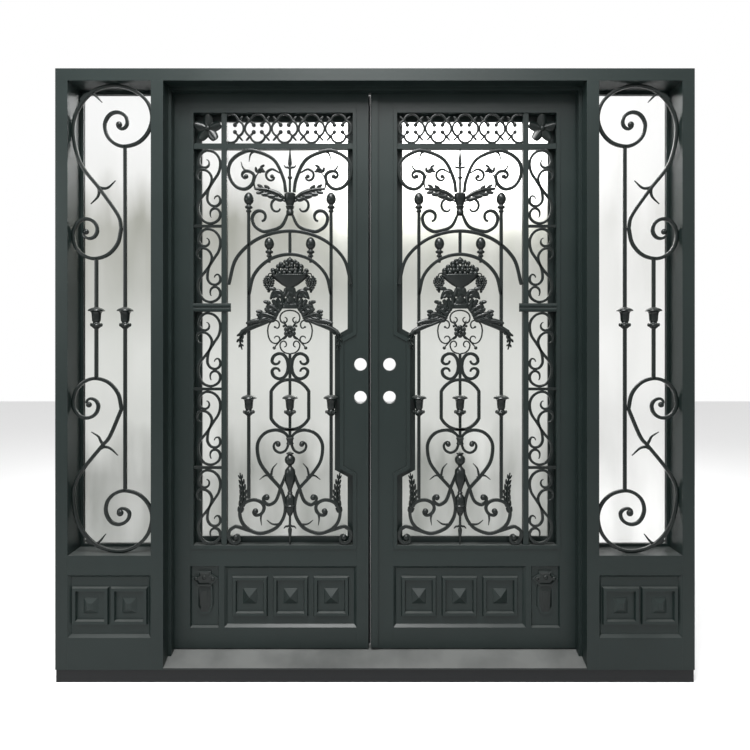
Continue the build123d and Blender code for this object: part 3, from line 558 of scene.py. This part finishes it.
# Grille of one leaf, drawn from the middle of the panel's foot
def panel_scrolls():
    """The right half of the panel's bars: scrolls, arches, pickets, ring and hearts."""
    snub = {"end": 0.62, "taper": 70}
    bars = [
        forged(
            [(18, 1500), (28, 1557), (70, 1637)]
            + curl((155, 1674), (260.5, 1594), (198, 1511), (152, 1563), (183, 1588), (203, 1571), (189, 1557)),
            BAR, **snub,
        ),
        forged(
            [(8, 1407), (38, 1352)]
            + curl((100, 1331), (160, 1384), (130, 1419), (104, 1396), (119, 1375)),
            BAR, start=0.75, **snub,
        ),
        forged(curl((7, 758), (42, 812), (76, 782), (60, 767), (44, 781), level=False), BAR, **snub),
        forged(curl((7, 758), (42, 705), (76, 735), (60, 750), (44, 736), level=False), BAR, **snub),
        forged(
            curl((6, 446), (64, 487), (139, 410), level=False)
            + [(128, 350), (91, 296), (62, 264), (39, 236), (26, 200), (20, 165), (22, 132), (36, 98), (64, 68)]
            + curl((119, 48), (213, 130), (155, 190), (110, 157), (142, 124), (157, 141)),
            BAR, start=0.7, **snub,
        ),
        forged(
            [(20, 296), (29, 268), (40, 242), (48, 214), (62, 184)]
            + curl((86, 170), (113, 195), (98, 209), (91, 200)),
            BAR, start=0.7, **snub,
        ),
        forged([(160, 52)] + curl((222, 76), (260.5, 46), (234, 7), (213, 26), (228, 42)), BAR, start=0.5, **snub),
        forged([(175, 198), (175, 1412)], BAR, step=20),
        forged([(88, 1200), (88, 1224)], 12, step=6),
        forged([(44, 1580)] + curl((72, 1595), (101, 1571), (81, 1548), (66, 1562)), LIGHT_BAR, start=0.5, **snub),
        forged([(20, 1458)] + curl((49, 1471), (79, 1443), (58, 1416), (42, 1428)), LIGHT_BAR, start=0.5, **snub),
        forged(
            [(5, 440), (9, 419), (19, 400)] + curl((38, 391), (69, 418), (52, 437), (43, 426)), LIGHT_BAR, **snub
        ),
    ]
    shape = {"start": 0.95, "end": 0.25, "taper": 70, "squareness": 0.7}
    for tendril in (
        [(146, 1672), (160, 1667), (169, 1655), (174, 1628)],
        [(176, 1588), (190, 1592), (201, 1604), (208, 1627)],
        [(80, 293), (78, 306), (72, 326), (55, 345)],
        [(72, 285), (86, 291), (106, 293), (129, 276)],
        [(36, 90), (50, 86), (76, 88), (98, 104)],
        [(108, 152), (119, 134), (124, 112), (121, 82)],
    ):
        bars.append(forged(tendril, TENDRIL, TENDRIL_DEPTH, **shape))
    for x, z, radius in (
        (186, 1565, 10), (76, 1565, 9), (98, 200, 12), (147, 142, 12.5), (50, 426, 11), (229, 31, 13),
    ):
        bars.append(ball(x, GRILLE_Y, z, radius))
    return bars


def rosette():
    """The right half of the rosette: four open scrolls of wire round a flower, with stems and buds."""
    wires = [
        curl((0, 996), (42, 966), (28, 942), (12, 955), (22, 966)),
        curl((0, 811), (42, 846), (27, 865), (15, 850), (24, 840)),
        curl((95, 910), (63, 953), (45, 935), (53, 920), (64, 929), level=False),
        curl((95, 910), (64, 855), (43, 872), (55, 886), (66, 877), level=False),
        [(12, 892), (40, 868), (66, 838)],
        [(12, 920), (24, 940), (42, 950)],
    ]
    parts = [forged(wire, WIRE, squareness=0.8, end=0.7, taper=25, step=3, sides=8) for wire in wires]
    parts += [ball(67, GRILLE_Y, 836, 7.5), ball(26, GRILLE_Y, 929, 6), ball(64, GRILLE_Y, 925, 5)]
    return parts


def mirror_line(points):
    """A line through the middle: the points' mirror image from the last to the first, then the points."""
    return [(-x, z) for x, z in points[:0:-1]] + list(points)


def panel_castings():
    """What crosses the panel's middle line: arches, ring, collars, spears, baluster and flower, and the fronds.

    The ring's line runs a little past its foot, so that its two ends lie in each other.
    """
    axis = (0.0, GRILLE_Y)
    arches = (((0, 1333), (260.4, 1107)), ((0, 1234), (175, 1062)))
    parts = [forged(mirror_line(curl(*arch)), BAR) for arch in arches]
    ring = [(0, 701), (25, 698), (48, 687), (67, 670), (79, 653), (80, 646), (80, 595), (80, 542), (79, 535)]
    ring += [(67, 518), (48, 502), (25, 492), (0, 489), (-20, 491)]
    parts += [
        forged(mirror_line(ring), BAR),
        forged([(0, 1234), (0, 1333)], 13, step=20),
        forged([(0, 440), (0, 812)], 12, step=20),
        forged([(0, 1500), (0, 1601)], 10, step=20),
        forged([(0, 84), (0, 130)], 10, step=20),
        revolved(
            [(0, 8), (6, 16), (20, 16), (25, 12), (31, 16), (36, 16), (40, 14), (58, 20), (63, 24), (92, 24), (98, 15)],
            *axis, 1398, flat=0.9, smooth=False,
        ),
        revolved([(0, 9), (2, 15), (5, 16), (12, 13), (20, 14), (27, 17), (30, 16), (32, 9)], *axis, 424, smooth=False),
        revolved(
            [
                (0, 7), (4, 10), (17, 14), (20, 21), (38, 21), (41, 24), (45, 24), (48, 21), (60, 21), (77, 20),
                (84, 16), (91, 10), (98, 11.5), (103, 8), (112, 9.5), (126, 14), (140, 20), (152, 23), (161, 24),
                (182, 23), (195, 21), (205, 13), (210, 8), (215, 9), (219, 14), (226, 20), (233, 22), (239, 22.5),
                (245, 21.5), (250, 19), (256, 13), (259, 10), (263, 16), (267, 15), (271, 7),
            ],
            *axis, 123, flat=0.95, smooth=False,
        ),
    ]
    for tip, way in ((PANEL_HEIGHT, -1), (0, 1)):
        spear = [(0, 2.5), (20, 4), (45, 7), (60, 8.5), (68, 7.5), (74, 5), (84, 5)]
        profile = [(way * height, radius) for height, radius in spear]
        if way < 0:
            profile = profile[::-1]
        parts.append(revolved(profile, *axis, tip, sides=12))
        for side in (-1, 1):
            parts.append(
                forged(
                    [
                        (0, tip + way * 84), (side * 8, tip + way * 78), (side * 18, tip + way * 77),
                        (side * 26, tip + way * 68),
                    ],
                    9, 7, end=0.3, taper=20, squareness=0.8,
                )
            )
    parts.append(ball(*axis, 1560, 10, (1, 1, 0.8)))
    parts.append(revolved([(0, 14), (3, 18), (7, 18), (10, 13)], *axis, 1431, smooth=False, sides=18))
    parts += both(leaf([(8, 920), (20, 936), (27, 953)], 10, 5, cut=0.45))
    parts += both(leaf([(12, 888), (26, 876), (34, 872)], 12, 5, cut=0.45))
    for count in range(6):
        turn = math.radians(60 * count + 30)
        parts.append(ball(17 * math.cos(turn), GRILLE_Y - 3, 906 + 17 * math.sin(turn), 11, (1, 0.55, 1)))
    parts.append(ball(0, GRILLE_Y - 8, 906, 8, (1, 0.6, 1)))
    for line, width, count, sides, reach in (
        ([(20, 1470), (50, 1490), (84, 1503), (118, 1510), (147, 1512)], 44, 4, (-1,), 1.2),
        ([(84, 1503), (118, 1510), (147, 1512)], 30, 2, (1,), 1.2),
        ([(135, 1578), (131, 1592), (119, 1596), (111, 1584)], 26, 2, (-1, 1), 1.2),
        ([(214, 132), (204, 172), (199, 212), (203, 258), (212, 304)], 22, 7, (-1, 1), 1.9),
    ):
        fronds = frond(line, width, count, depth=7, y=GRILLE_Y - 2, sides=sides, reach=reach)
        parts += fronds + carried(fronds, flip=-1.0)
    parts += both(forged([(150, 1518), (152, 1540), (144, 1566), (134, 1580)], 7, 6, end=0.6, sides=8))
    return parts


for name, side in LEAVES.items():
    middle = side * PANEL_MIDDLE
    surfaces = []
    for half in panel_scrolls() + rosette():
        surfaces += both(half)
    surfaces += panel_castings()
    surfaces = carried(surfaces, middle, PANEL_FOOT)
    piece(f"{name}_panel_scrolls", surfaces, f"{name}_leaf", [f"{name}_scroll_grille"], grille_paint)


# Cups, finials and the basket
CUP = [
    (0, 7), (3, 8), (7, 13), (14, 20.5), (19, 23), (23, 21), (27, 14.5), (30.5, 13), (33, 14.5), (37, 16.5),
    (48, 17.5), (58, 18), (67, 19), (72, 21), (75, 24.5), (76.5, 29), (76.8, 32.5), (78.5, 33.2), (81, 32), (85, 28),
    (88.5, 21), (91, 14), (93.5, 8),
]
FINIAL = [
    (0, 9), (2, 11.5), (8, 11.5), (10, 8.5), (15, 8.5), (17, 14), (19, 16), (23, 16.5), (26, 15), (29, 10),
    (33, 9), (37, 13), (43, 18), (51, 20.6), (59, 20.8), (67, 19.2), (74, 16), (79.5, 11.5), (83, 7), (85.5, 1.5),
]


def cup(x, y, z):
    """A picket's cup: crown shaped bulb, barrel body and domed flange."""
    parts = [revolved(CUP, x, y, z, sides=30, smooth=False)]
    for count in range(8):
        turn = math.radians(45 * count)
        parts.append(ball(x + 21 * math.cos(turn), y + 21 * math.sin(turn), z + 20, 5, (1, 1, 1.5), sides=8))
    return parts


def finial(x, z):
    """A round bud on a ring and a neck."""
    return revolved(FINIAL, x, GRILLE_Y, z, sides=22, smooth=False)


def basket_bowl():
    """Footed bowl on a twisted neck.

    Its profile is turned, and in the neck the radius swells in three lobes that turn with the height. It is flat from
    front to back.
    """
    bowl = [
        (3, 36), (5, 40), (18, 40), (20, 36), (23, 33), (36, 26), (47, 20), (50, 15), (54, 17), (60, 20), (66, 21),
        (72, 18), (76, 17), (82, 20), (88, 21), (93, 18), (96, 22), (101, 31), (107, 40), (114, 49), (122, 59),
        (131, 70), (138, 78.5), (141, 81), (145, 81), (147, 78), (148, 66),
    ]
    profile = fine_line(bowl, 2.0)
    turn = np.radians(360 * np.arange(44) / 44)
    height = profile[:, :1]
    neck = np.clip((height - 48) / 6, 0, 1) * np.clip((95 - height) / 5, 0, 1)
    radius = profile[:, 1:] * (1 + 0.16 * neck * np.sin(3 * turn[None, :] + height / 6))
    deep = np.minimum(radius, 9 + 0.22 * radius)
    rings = np.stack(
        [
            radius * np.cos(turn)[None, :],
            GRILLE_Y + deep * np.sin(turn)[None, :],
            1000 + height + 0 * turn[None, :],
        ],
        axis=2,
    )
    return tube_faces(rings[:, ::-1])


def fruit_basket():
    """The bowl with its fruit, two hanging bunches of grapes and the leaves that fall over the pickets."""
    parts = [basket_bowl()]
    for row, (height, reach, count, size) in enumerate(
        ((1152, 66, 7, 11), (1166, 69, 8, 10.5), (1180, 50, 6, 10.5), (1193, 34, 4, 10), (1204, 20, 2, 9))
    ):
        for place in np.linspace(-reach, reach, count):
            jitter = seeded.uniform(-2.5, 2.5, 3)
            for depth in (-11, 9):
                parts.append(
                    ball(
                        place + jitter[0],
                        GRILLE_Y + depth * (1 - row * 0.12) + jitter[1],
                        height + jitter[2],
                        size * seeded.uniform(0.9, 1.08),
                    )
                )
    parts.append(ball(0, GRILLE_Y - 2, 1206, 14.5, (1, 1, 0.95), sides=20))
    parts.append(ball(0, GRILLE_Y - 2, 1219, 4, sides=10))
    bunch = ((1076, 0), (1085, 5), (1094, 10), (1103, 15), (1112, 18), (1121, 19), (1130, 15), (1138, 8))
    for side in (-1, 1):
        for row, (height, wide) in enumerate(bunch):
            for place in np.linspace(-wide, wide, 1 + int(wide / 4.6)):
                for depth in (-6, 5):
                    jitter = seeded.uniform(-1.2, 1.2, 2)
                    parts.append(
                        ball(
                            side * (90 + place) + jitter[0],
                            GRILLE_Y + (depth if row else 0) - 2,
                            height + jitter[1],
                            5.9,
                            sides=8,
                        )
                    )
        stem = [(side * 68, 1143), (side * 78, 1153), (side * 90, 1150), (side * 92, 1138)]
        parts.append(forged(stem, 5, squareness=0.9, sides=8, taper=10))
        parts += leaf_fall(side)
    parts.append(leaf([(0, 1054), (0, 1040), (0, 1024)], 34, 9, y=GRILLE_Y - 16, cut=0.45, lift=2))
    return parts


def leaf_fall(side):
    """The arm of acanthus on one side of the basket: a ridge, and the fronds and tongues that part from it."""
    front = GRILLE_Y - 9
    parts = []
    for line, width, count in (
        ([(31, 1008), (30, 1048), (42, 1074), (66, 1072), (80, 1046)], 44, 3),
        ([(43, 986), (66, 1006), (88, 1016), (99, 998)], 42, 3),
        ([(55, 962), (88, 974), (116, 980), (134, 960)], 40, 3),
        ([(186, 912), (206, 890), (210, 862), (202, 830)], 22, 4),
    ):
        parts += frond([(side * x, z) for x, z in line], width, count, 10, front, sides=(-side, side))
    for line, width in (
        ([(72, 962), (104, 953), (146, 949), (184, 940)], 26),
        ([(130, 936), (160, 926), (190, 911), (213, 893)], 22),
    ):
        line = [(side * x, z) for x, z in line]
        parts.append(leaf(line, width, 9, y=front, lift=5, tip=0.25))
        parts.append(forged(line, 4, 6, y=front - 5, end=0.3, start=0.7, squareness=0.9, sides=8))
    arm = [(30, 1012), (48, 992), (62, 966), (98, 944), (148, 924), (184, 906), (207, 882)]
    parts.append(forged([(side * x, z) for x, z in arm], 12, 14, y=front + 3, end=0.5, squareness=0.7))
    parts.append(ball(side * 88, front - 3, 1027, 9, (1, 0.7, 1), sides=12))
    parts.append(ball(side * 133, front - 3, 976, 8, (1, 0.7, 1), sides=12))
    return parts


for name, side in LEAVES.items():
    middle = side * PANEL_MIDDLE
    body = f"{name}_leaf"
    cups = [part for x in (-175, 0, 175) for part in cup(x, GRILLE_Y, CUP_FOOT)]
    cups = carried(cups, middle, PANEL_FOOT)
    piece(f"{name}_cups", cups, body, [f"{name}_picket_cups"], grille_paint)
    buds = [finial(x, z) for x, z in ((-175, 1412), (175, 1412), (-88, 1222), (88, 1222))]
    buds = carried(buds, middle, PANEL_FOOT)
    piece(f"{name}_buds", buds, body, [f"{name}_finials"], grille_paint)
    basket = carried(fruit_basket(), middle, PANEL_FOOT)
    piece(f"{name}_basket", basket, body, [f"{name}_fruit_basket"], grille_paint)


# Side strip and top band of one leaf
def strip_unit():
    """One unit of the side strip, for the left leaf: two S scrolls, each through its outermost points."""
    upper = (
        curl((-5, 277), (6, 261), (-13, 243), (-39, 272), (0, 316), (53, 259))
        + [(46, 222), (24, 187), (4, 152)]
        + curl((-2, 114), (29, 79), (53, 101), (42, 123), (28, 110), level=False)
    )
    lower = (
        curl((-29, 188), (-47, 212), (-23, 235), (17, 192))
        + [(8, 162), (-12, 134), (-34, 106)]
        + curl((-42, 77), (9, 6), (53, 42), (31, 70), (10, 49), (15, 32), level=False)
    )
    return [forged(line, LIGHT_BAR, start=0.35, end=0.35, taper=60, step=3.5) for line in (upper, lower)]


def band_loops():
    """The top band, for the left leaf: knots of two upright loops with short diagonals, and arches between them.

    Loops and arches are parts of circles, and what would pass the panel's edge is cut off.
    """
    loop, crown = 35.2, 31.2
    parts = []
    start = PANEL_HALF - BAND_BAR / 2
    turn = np.radians(np.linspace(-75, 75, 11))
    arch = np.radians(np.linspace(-82, 82, 13))
    for count in range(6):
        knot = start - count * BAND_PITCH
        for way in (-1, 1):
            x = knot + way * (loop - loop * np.cos(turn) + BAND_BAR / 2 - 1)
            line = np.column_stack([x, loop * np.sin(turn)])
            inside = np.abs(line[:, 0]) < PANEL_HALF - 3
            if inside.sum() > 2:
                parts.append(forged(line[inside], BAND_WIRE, step=3.5))
            for up in (-1, 1):
                ends = [(knot + way * 40, up * 15), (knot + way * 8, up * 51)]
                if max(abs(ends[0][0]), abs(ends[1][0])) < PANEL_HALF - 8:
                    parts.append(forged(ends, BAND_WIRE - 1, end=0.7, taper=12, step=5))
                    parts.append(ball(ends[0][0], GRILLE_Y, ends[0][1], 9, sides=12))
        middle = knot + BAND_PITCH / 2
        for up in (-1, 1):
            line = np.column_stack(
                [middle + crown * np.sin(arch), up * (BAND_HALF - BAND_BAR / 2 - crown + crown * np.cos(arch))]
            )
            inside = np.abs(line[:, 0]) < PANEL_HALF - 2
            if inside.sum() > 2:
                parts.append(forged(line[inside], BAND_WIRE, step=3.5))
    return parts


def corner_flower():
    """A cast flower of five cupped petals round a domed middle."""
    parts = []
    for count in range(5):
        turn = math.radians(90 + 72 * count)
        heading = np.array([math.cos(turn), math.sin(turn)])
        line = [tuple(heading * reach) for reach in (6, 22, 40, 58.5)]
        parts.append(leaf(line, 44, 12, cut=0.12, tip=0.55, root=0.35, lift=3))
        parts.append(forged([tuple(heading * 8), tuple(heading * 44)], 5, 6, y=GRILLE_Y - 5, end=0.3, sides=8))
    parts.append(ball(0, GRILLE_Y - 5, 0, 12, (1, 0.7, 1), sides=18))
    return parts


# Feet of the strip's five units: a thin bar lies between two, and the collar between the third and the fourth
COLLAR = 3 * STRIP_BAR
STEPS = [0.0]
for rest in (STRIP_BAR, STRIP_BAR, COLLAR, STRIP_BAR):
    STEPS.append(STEPS[-1] + UNIT_HEIGHT + rest)

for name, side in LEAVES.items():
    body = f"{name}_leaf"
    parts = []
    for step in STEPS:
        parts += carried(strip_unit(), side * STRIP_MIDDLE, PANEL_FOOT + step, flip=-side)
    for step in (STEPS[1], STEPS[2], STEPS[4]):
        low = PANEL_FOOT + step - STRIP_BAR
        ends = (side * STRIP_MIDDLE - STRIP_WIDTH / 2, side * STRIP_MIDDLE + STRIP_WIDTH / 2)
        parts.append(block(*ends, GRILLE_Y - LIGHT_BAR / 2, GRILLE_Y + LIGHT_BAR / 2, low, low + STRIP_BAR))
    piece(f"{name}_strip", parts, body, [f"{name}_strip_scrolls"], grille_paint)
    loops = carried(band_loops(), side * PANEL_MIDDLE, BAND_MIDDLE, flip=-side)
    piece(f"{name}_band", loops, body, [f"{name}_band_lattice"], grille_paint)
    flower = carried(corner_flower(), side * STRIP_MIDDLE, BAND_MIDDLE)
    piece(f"{name}_flower", flower, body, [f"{name}_band_flower"], grille_paint)


# Bevels and castings of the lower panels
def square_trims(middle, centre, height, front, floor, foot, tip):
    """One raised square: small bevels round its outside and inside, and the pyramid in it, from foot to tip."""
    box = (middle - SQUARE_WIDTH / 2, middle + SQUARE_WIDTH / 2, centre - height / 2, centre + height / 2)
    inner = (box[0] + SQUARE_BORDER, box[1] - SQUARE_BORDER, box[2] + SQUARE_BORDER, box[3] - SQUARE_BORDER)
    return [
        mitred(*box, front, floor, SQUARE_EDGE),
        mitred(*inner, front, floor, -SQUARE_EDGE),
        peak(middle, centre, foot, tip),
    ]


CARTOUCHE_BODY = [(-27, -42), (-14, -66), (14, -66), (27, -42), (27, 34), (20, 43), (-20, 43), (-27, 34)]
CARTOUCHE_CAP = [(-26, 52), (26, 52), (49, 75), (25, 92), (25, 104), (-25, 104), (-25, 92), (-49, 75)]

for name, side in LEAVES.items():
    trims = []
    for field, reach in ((SQUARES_FIELD, FIELD_BEVEL), (CARTOUCHE_FIELD, CARTOUCHE_BEVEL)):
        ends = sorted(side * edge for edge in field)
        trims.append(mitred(*ends, FIELD_LOW, FIELD_HIGH, FIELD_FACE, FIELD_FLOOR, -reach))
    for step in (-SQUARE_PITCH, 0, SQUARE_PITCH):
        middle = side * SQUARES_MIDDLE + step
        trims += square_trims(
            middle, FIELD_MIDDLE, SQUARE_HEIGHT, FIELD_FACE, FIELD_FLOOR, FIELD_FLOOR, PEAK_TIP
        )
    piece(f"{name}_panel_bevels", trims, f"{name}_leaf", [], frame_paint, crease=20)
    casting = [raised(outline, CAST_BACK, CAST_FRONT, 0.7) for outline in (CARTOUCHE_BODY, CARTOUCHE_CAP)]
    casting.append(raised([(0.55 * x, 0.6 * z - 2) for x, z in CARTOUCHE_BODY], 26, 21.5, 0.6))
    casting.append(forged([(-30, 47.5), (30, 47.5)], 7, 8, y=28, start=0.8, end=0.8))
    casting += [ball(x, 26, 76, 8, (1, 0.6, 1), sides=16) for x in (-36, 36)] + [ball(0, 24, 82, 9, (1, 0.5, 1))]
    casting = carried(casting, side * CARTOUCHE_MIDDLE, FIELD_MIDDLE)
    piece(f"{name}_cartouche_relief", casting, f"{name}_leaf", [], grille_paint, crease=20)


# Sidelight grilles, drawn for the left one
def sidelight_grille():
    """Four large scrolls joined by two stems, their tendrils and the two pickets, without the pickets' cups."""
    snub = {"end": 0.6, "taper": 80, "y": SIDE_GRILLE_Y}
    parts = [
        forged(
            [(36, 1343), (22, 1397), (-52, 1503), (-133, 1612)]
            + curl(
                (-163, 1745), (1, 1932), (163, 1803), (51, 1681), (-32, 1763), (16, 1822), (61, 1782), (37, 1753),
                (19, 1770), level=False,
            ),
            BAR, **snub,
        ),
        forged(
            curl(
                (36, 1343), (-73, 1217), (-163, 1310), (-110, 1381), (-63, 1337), (-94, 1300), (-121, 1321),
                level=False,
            ),
            BAR, **snub,
        ),
        forged(
            curl(
                (37, 595), (-69, 721), (-163, 624), (-108, 558), (-59, 605), (-90, 638), (-108, 620), level=False
            ),
            BAR, **snub,
        ),
        forged(
            [(37, 595), (-11, 483), (-44, 442), (-118, 351), (-156, 285)]
            + curl(
                (-163, 223), (22, 7), (163, 144), (53, 257), (-28, 183), (22, 118), (70, 159), (39, 184), (22, 169),
                level=False,
            ),
            BAR, **snub,
        ),
        forged([(52, 257), (52, 1681)], BAR, y=SIDE_GRILLE_Y, step=20),
        forged([(-67, 721), (-67, 1217)], BAR, y=SIDE_GRILLE_Y, step=20),
    ]
    shape = {"y": SIDE_GRILLE_Y, "start": 0.95, "end": 0.28, "taper": 90, "squareness": 0.7}
    for tendril in (
        [(-133, 1873), (-110, 1895), (-82, 1899), (-44, 1863)],
        [(-65, 1519), (-48, 1509), (-20, 1510), (12, 1539)],
        [(-62, 1516), (-56, 1498), (-62, 1472), (-90, 1443)],
        [(-40, 447), (-50, 464), (-60, 482), (-88, 500)],
        [(-48, 432), (-34, 438), (-10, 432), (22, 403)],
        [(-110, 53), (-90, 40), (-60, 42), (-28, 78)],
    ):
        parts.append(forged(tendril, SIDE_TENDRIL, SIDE_TENDRIL_DEPTH, **shape))
    for x, z, radius in ((27, 1771, 13), (-110, 1328, 12), (-98, 613, 12), (31, 165, 14)):
        parts.append(ball(x, SIDE_GRILLE_Y, z, radius, (1, 0.8, 1), sides=18))
    return parts


surfaces, cups = [], []
for side in LEAVES.values():
    pair = [part for x in (52, -67) for part in cup(x, SIDE_GRILLE_Y, SIDE_CUP_FOOT)]
    surfaces += carried(sidelight_grille(), side * SIDE_MIDDLE, SIDE_FOOT, flip=-side)
    cups += carried(pair, side * SIDE_MIDDLE, SIDE_FOOT, flip=-side)
piece("sidelight_grilles", surfaces, "frame", ["sidelight_scrolls"], grille_paint)
piece("sidelight_picket_cups", cups, "frame", ["sidelight_cups"], grille_paint)

trims = []
for side in LEAVES.values():
    ends = sorted(side * edge for edge in SIDE_FIELD)
    trims.append(mitred(*ends, SIDE_FIELD_LOW, FIELD_HIGH, SIDE_FIELD_FACE, SIDE_FIELD_FLOOR, -FIELD_BEVEL))
    for step in (-SIDE_SQUARE_PITCH / 2, SIDE_SQUARE_PITCH / 2):
        trims += square_trims(
            side * SIDE_MIDDLE + step, SIDE_FIELD_MIDDLE, SIDE_SQUARE_HEIGHT, SIDE_FIELD_FACE, SIDE_FIELD_FLOOR,
            SIDE_PEAK_FOOT, SIDE_PEAK_TIP,
        )
piece("sidelight_panel_bevels", trims, "frame", [], frame_paint, crease=20)

# Rubber seal in the gap between the leaves, on the left one's edge
seal = [block(-24.75, -19.5, 62, 73, 94, 2454)]
piece("meeting_seal", seal, "left_leaf", [], seal_finish)

# Camera, at the photograph's place and height
camera = bpy.data.objects.new("camera", bpy.data.cameras.new("camera"))
bpy.context.scene.collection.objects.link(camera)
camera.location = (0, -2.575, 1.389)
camera.rotation_euler = (math.radians(90), 0, 0)
camera.data.lens = 29.41
camera.data.sensor_width = 36
camera.data.shift_y = -0.0427
bpy.context.scene.camera = camera


# Floor, lamps and pale surroundings
def lamp(name, place, aim, size, power):
    """A soft lamp of this width and height that looks at a point."""
    light = bpy.data.lights.new(name, "AREA")
    light.shape = "RECTANGLE"
    light.size, light.size_y = size
    light.energy = power
    holder = bpy.data.objects.new(name, light)
    bpy.context.scene.collection.objects.link(holder)
    holder.location = place
    holder.rotation_euler = (Vector(aim) - Vector(place)).to_track_quat("-Z", "Y").to_euler()


lamp("softbox", (0.2, -4.0, 5.0), (0, 0, 1.6), (3.2, 1.3), 125)
lamp("overhead", (-0.5, -1.5, 4.7), (0, 0, 1.2), (1.7, 1.7), 260)
lamp("window", (-3.9, -2.6, 2.3), (0, 0, 1.2), (1.5, 1.5), 50)
lamp("back", (0.6, 4.2, 3.9), (0, 0, 1.3), (2.5, 2.5), 100)


def seen_share(tree, *kinds):
    """One for a ray of one of these kinds, else nothing."""
    rays = node(tree, "ShaderNodeLightPath")
    share = rays.outputs[kinds[0]]
    for kind in kinds[1:]:
        share = node(tree, "ShaderNodeMath", {0: share, 1: rays.outputs[kind]}, operation="MAXIMUM").outputs[0]
    return share


# Strength of the surroundings as a light, where they are seen as white, and of the floor's glow where it is seen
SURROUND_LIGHT = 0.42
FLOOR_GLOW = 0.32

world = bpy.data.worlds.new("studio")
bpy.context.scene.world = world
world.use_nodes = True
sky = world.node_tree
seen = seen_share(sky, "Is Camera Ray", "Is Transmission Ray", "Is Glossy Ray")
level = node(sky, "ShaderNodeMapRange", {"Value": seen, "To Min": SURROUND_LIGHT, "To Max": 1.0})
sky.links.new(level.outputs[0], sky.nodes["Background"].inputs["Strength"])
sky.nodes["Background"].inputs["Color"].default_value = (1, 1, 1, 1)

ground = bpy.data.meshes.new("floor")
ground.from_pydata([(-12, -12, 0), (12, -12, 0), (12, 12, 0), (-12, 12, 0)], [], [(0, 1, 2, 3)])
floor = bpy.data.objects.new("floor", ground)
bpy.context.scene.collection.objects.link(floor)
pale = bpy.data.materials.new("pale floor")
pale.use_nodes = True
surface = pale.node_tree.nodes["Principled BSDF"]
surface.inputs["Base Color"].default_value = (0.82, 0.82, 0.82, 1)
surface.inputs["Roughness"].default_value = 0.9
surface.inputs["Emission Color"].default_value = (1, 1, 1, 1)
seen = seen_share(pale.node_tree, "Is Camera Ray", "Is Transmission Ray")
glow = node(pale.node_tree, "ShaderNodeMath", {0: seen, 1: FLOOR_GLOW}, operation="MULTIPLY")
pale.node_tree.links.new(glow.outputs[0], surface.inputs["Emission Strength"])
ground.materials.append(pale)

bpy.context.scene.view_settings.view_transform = "Standard"
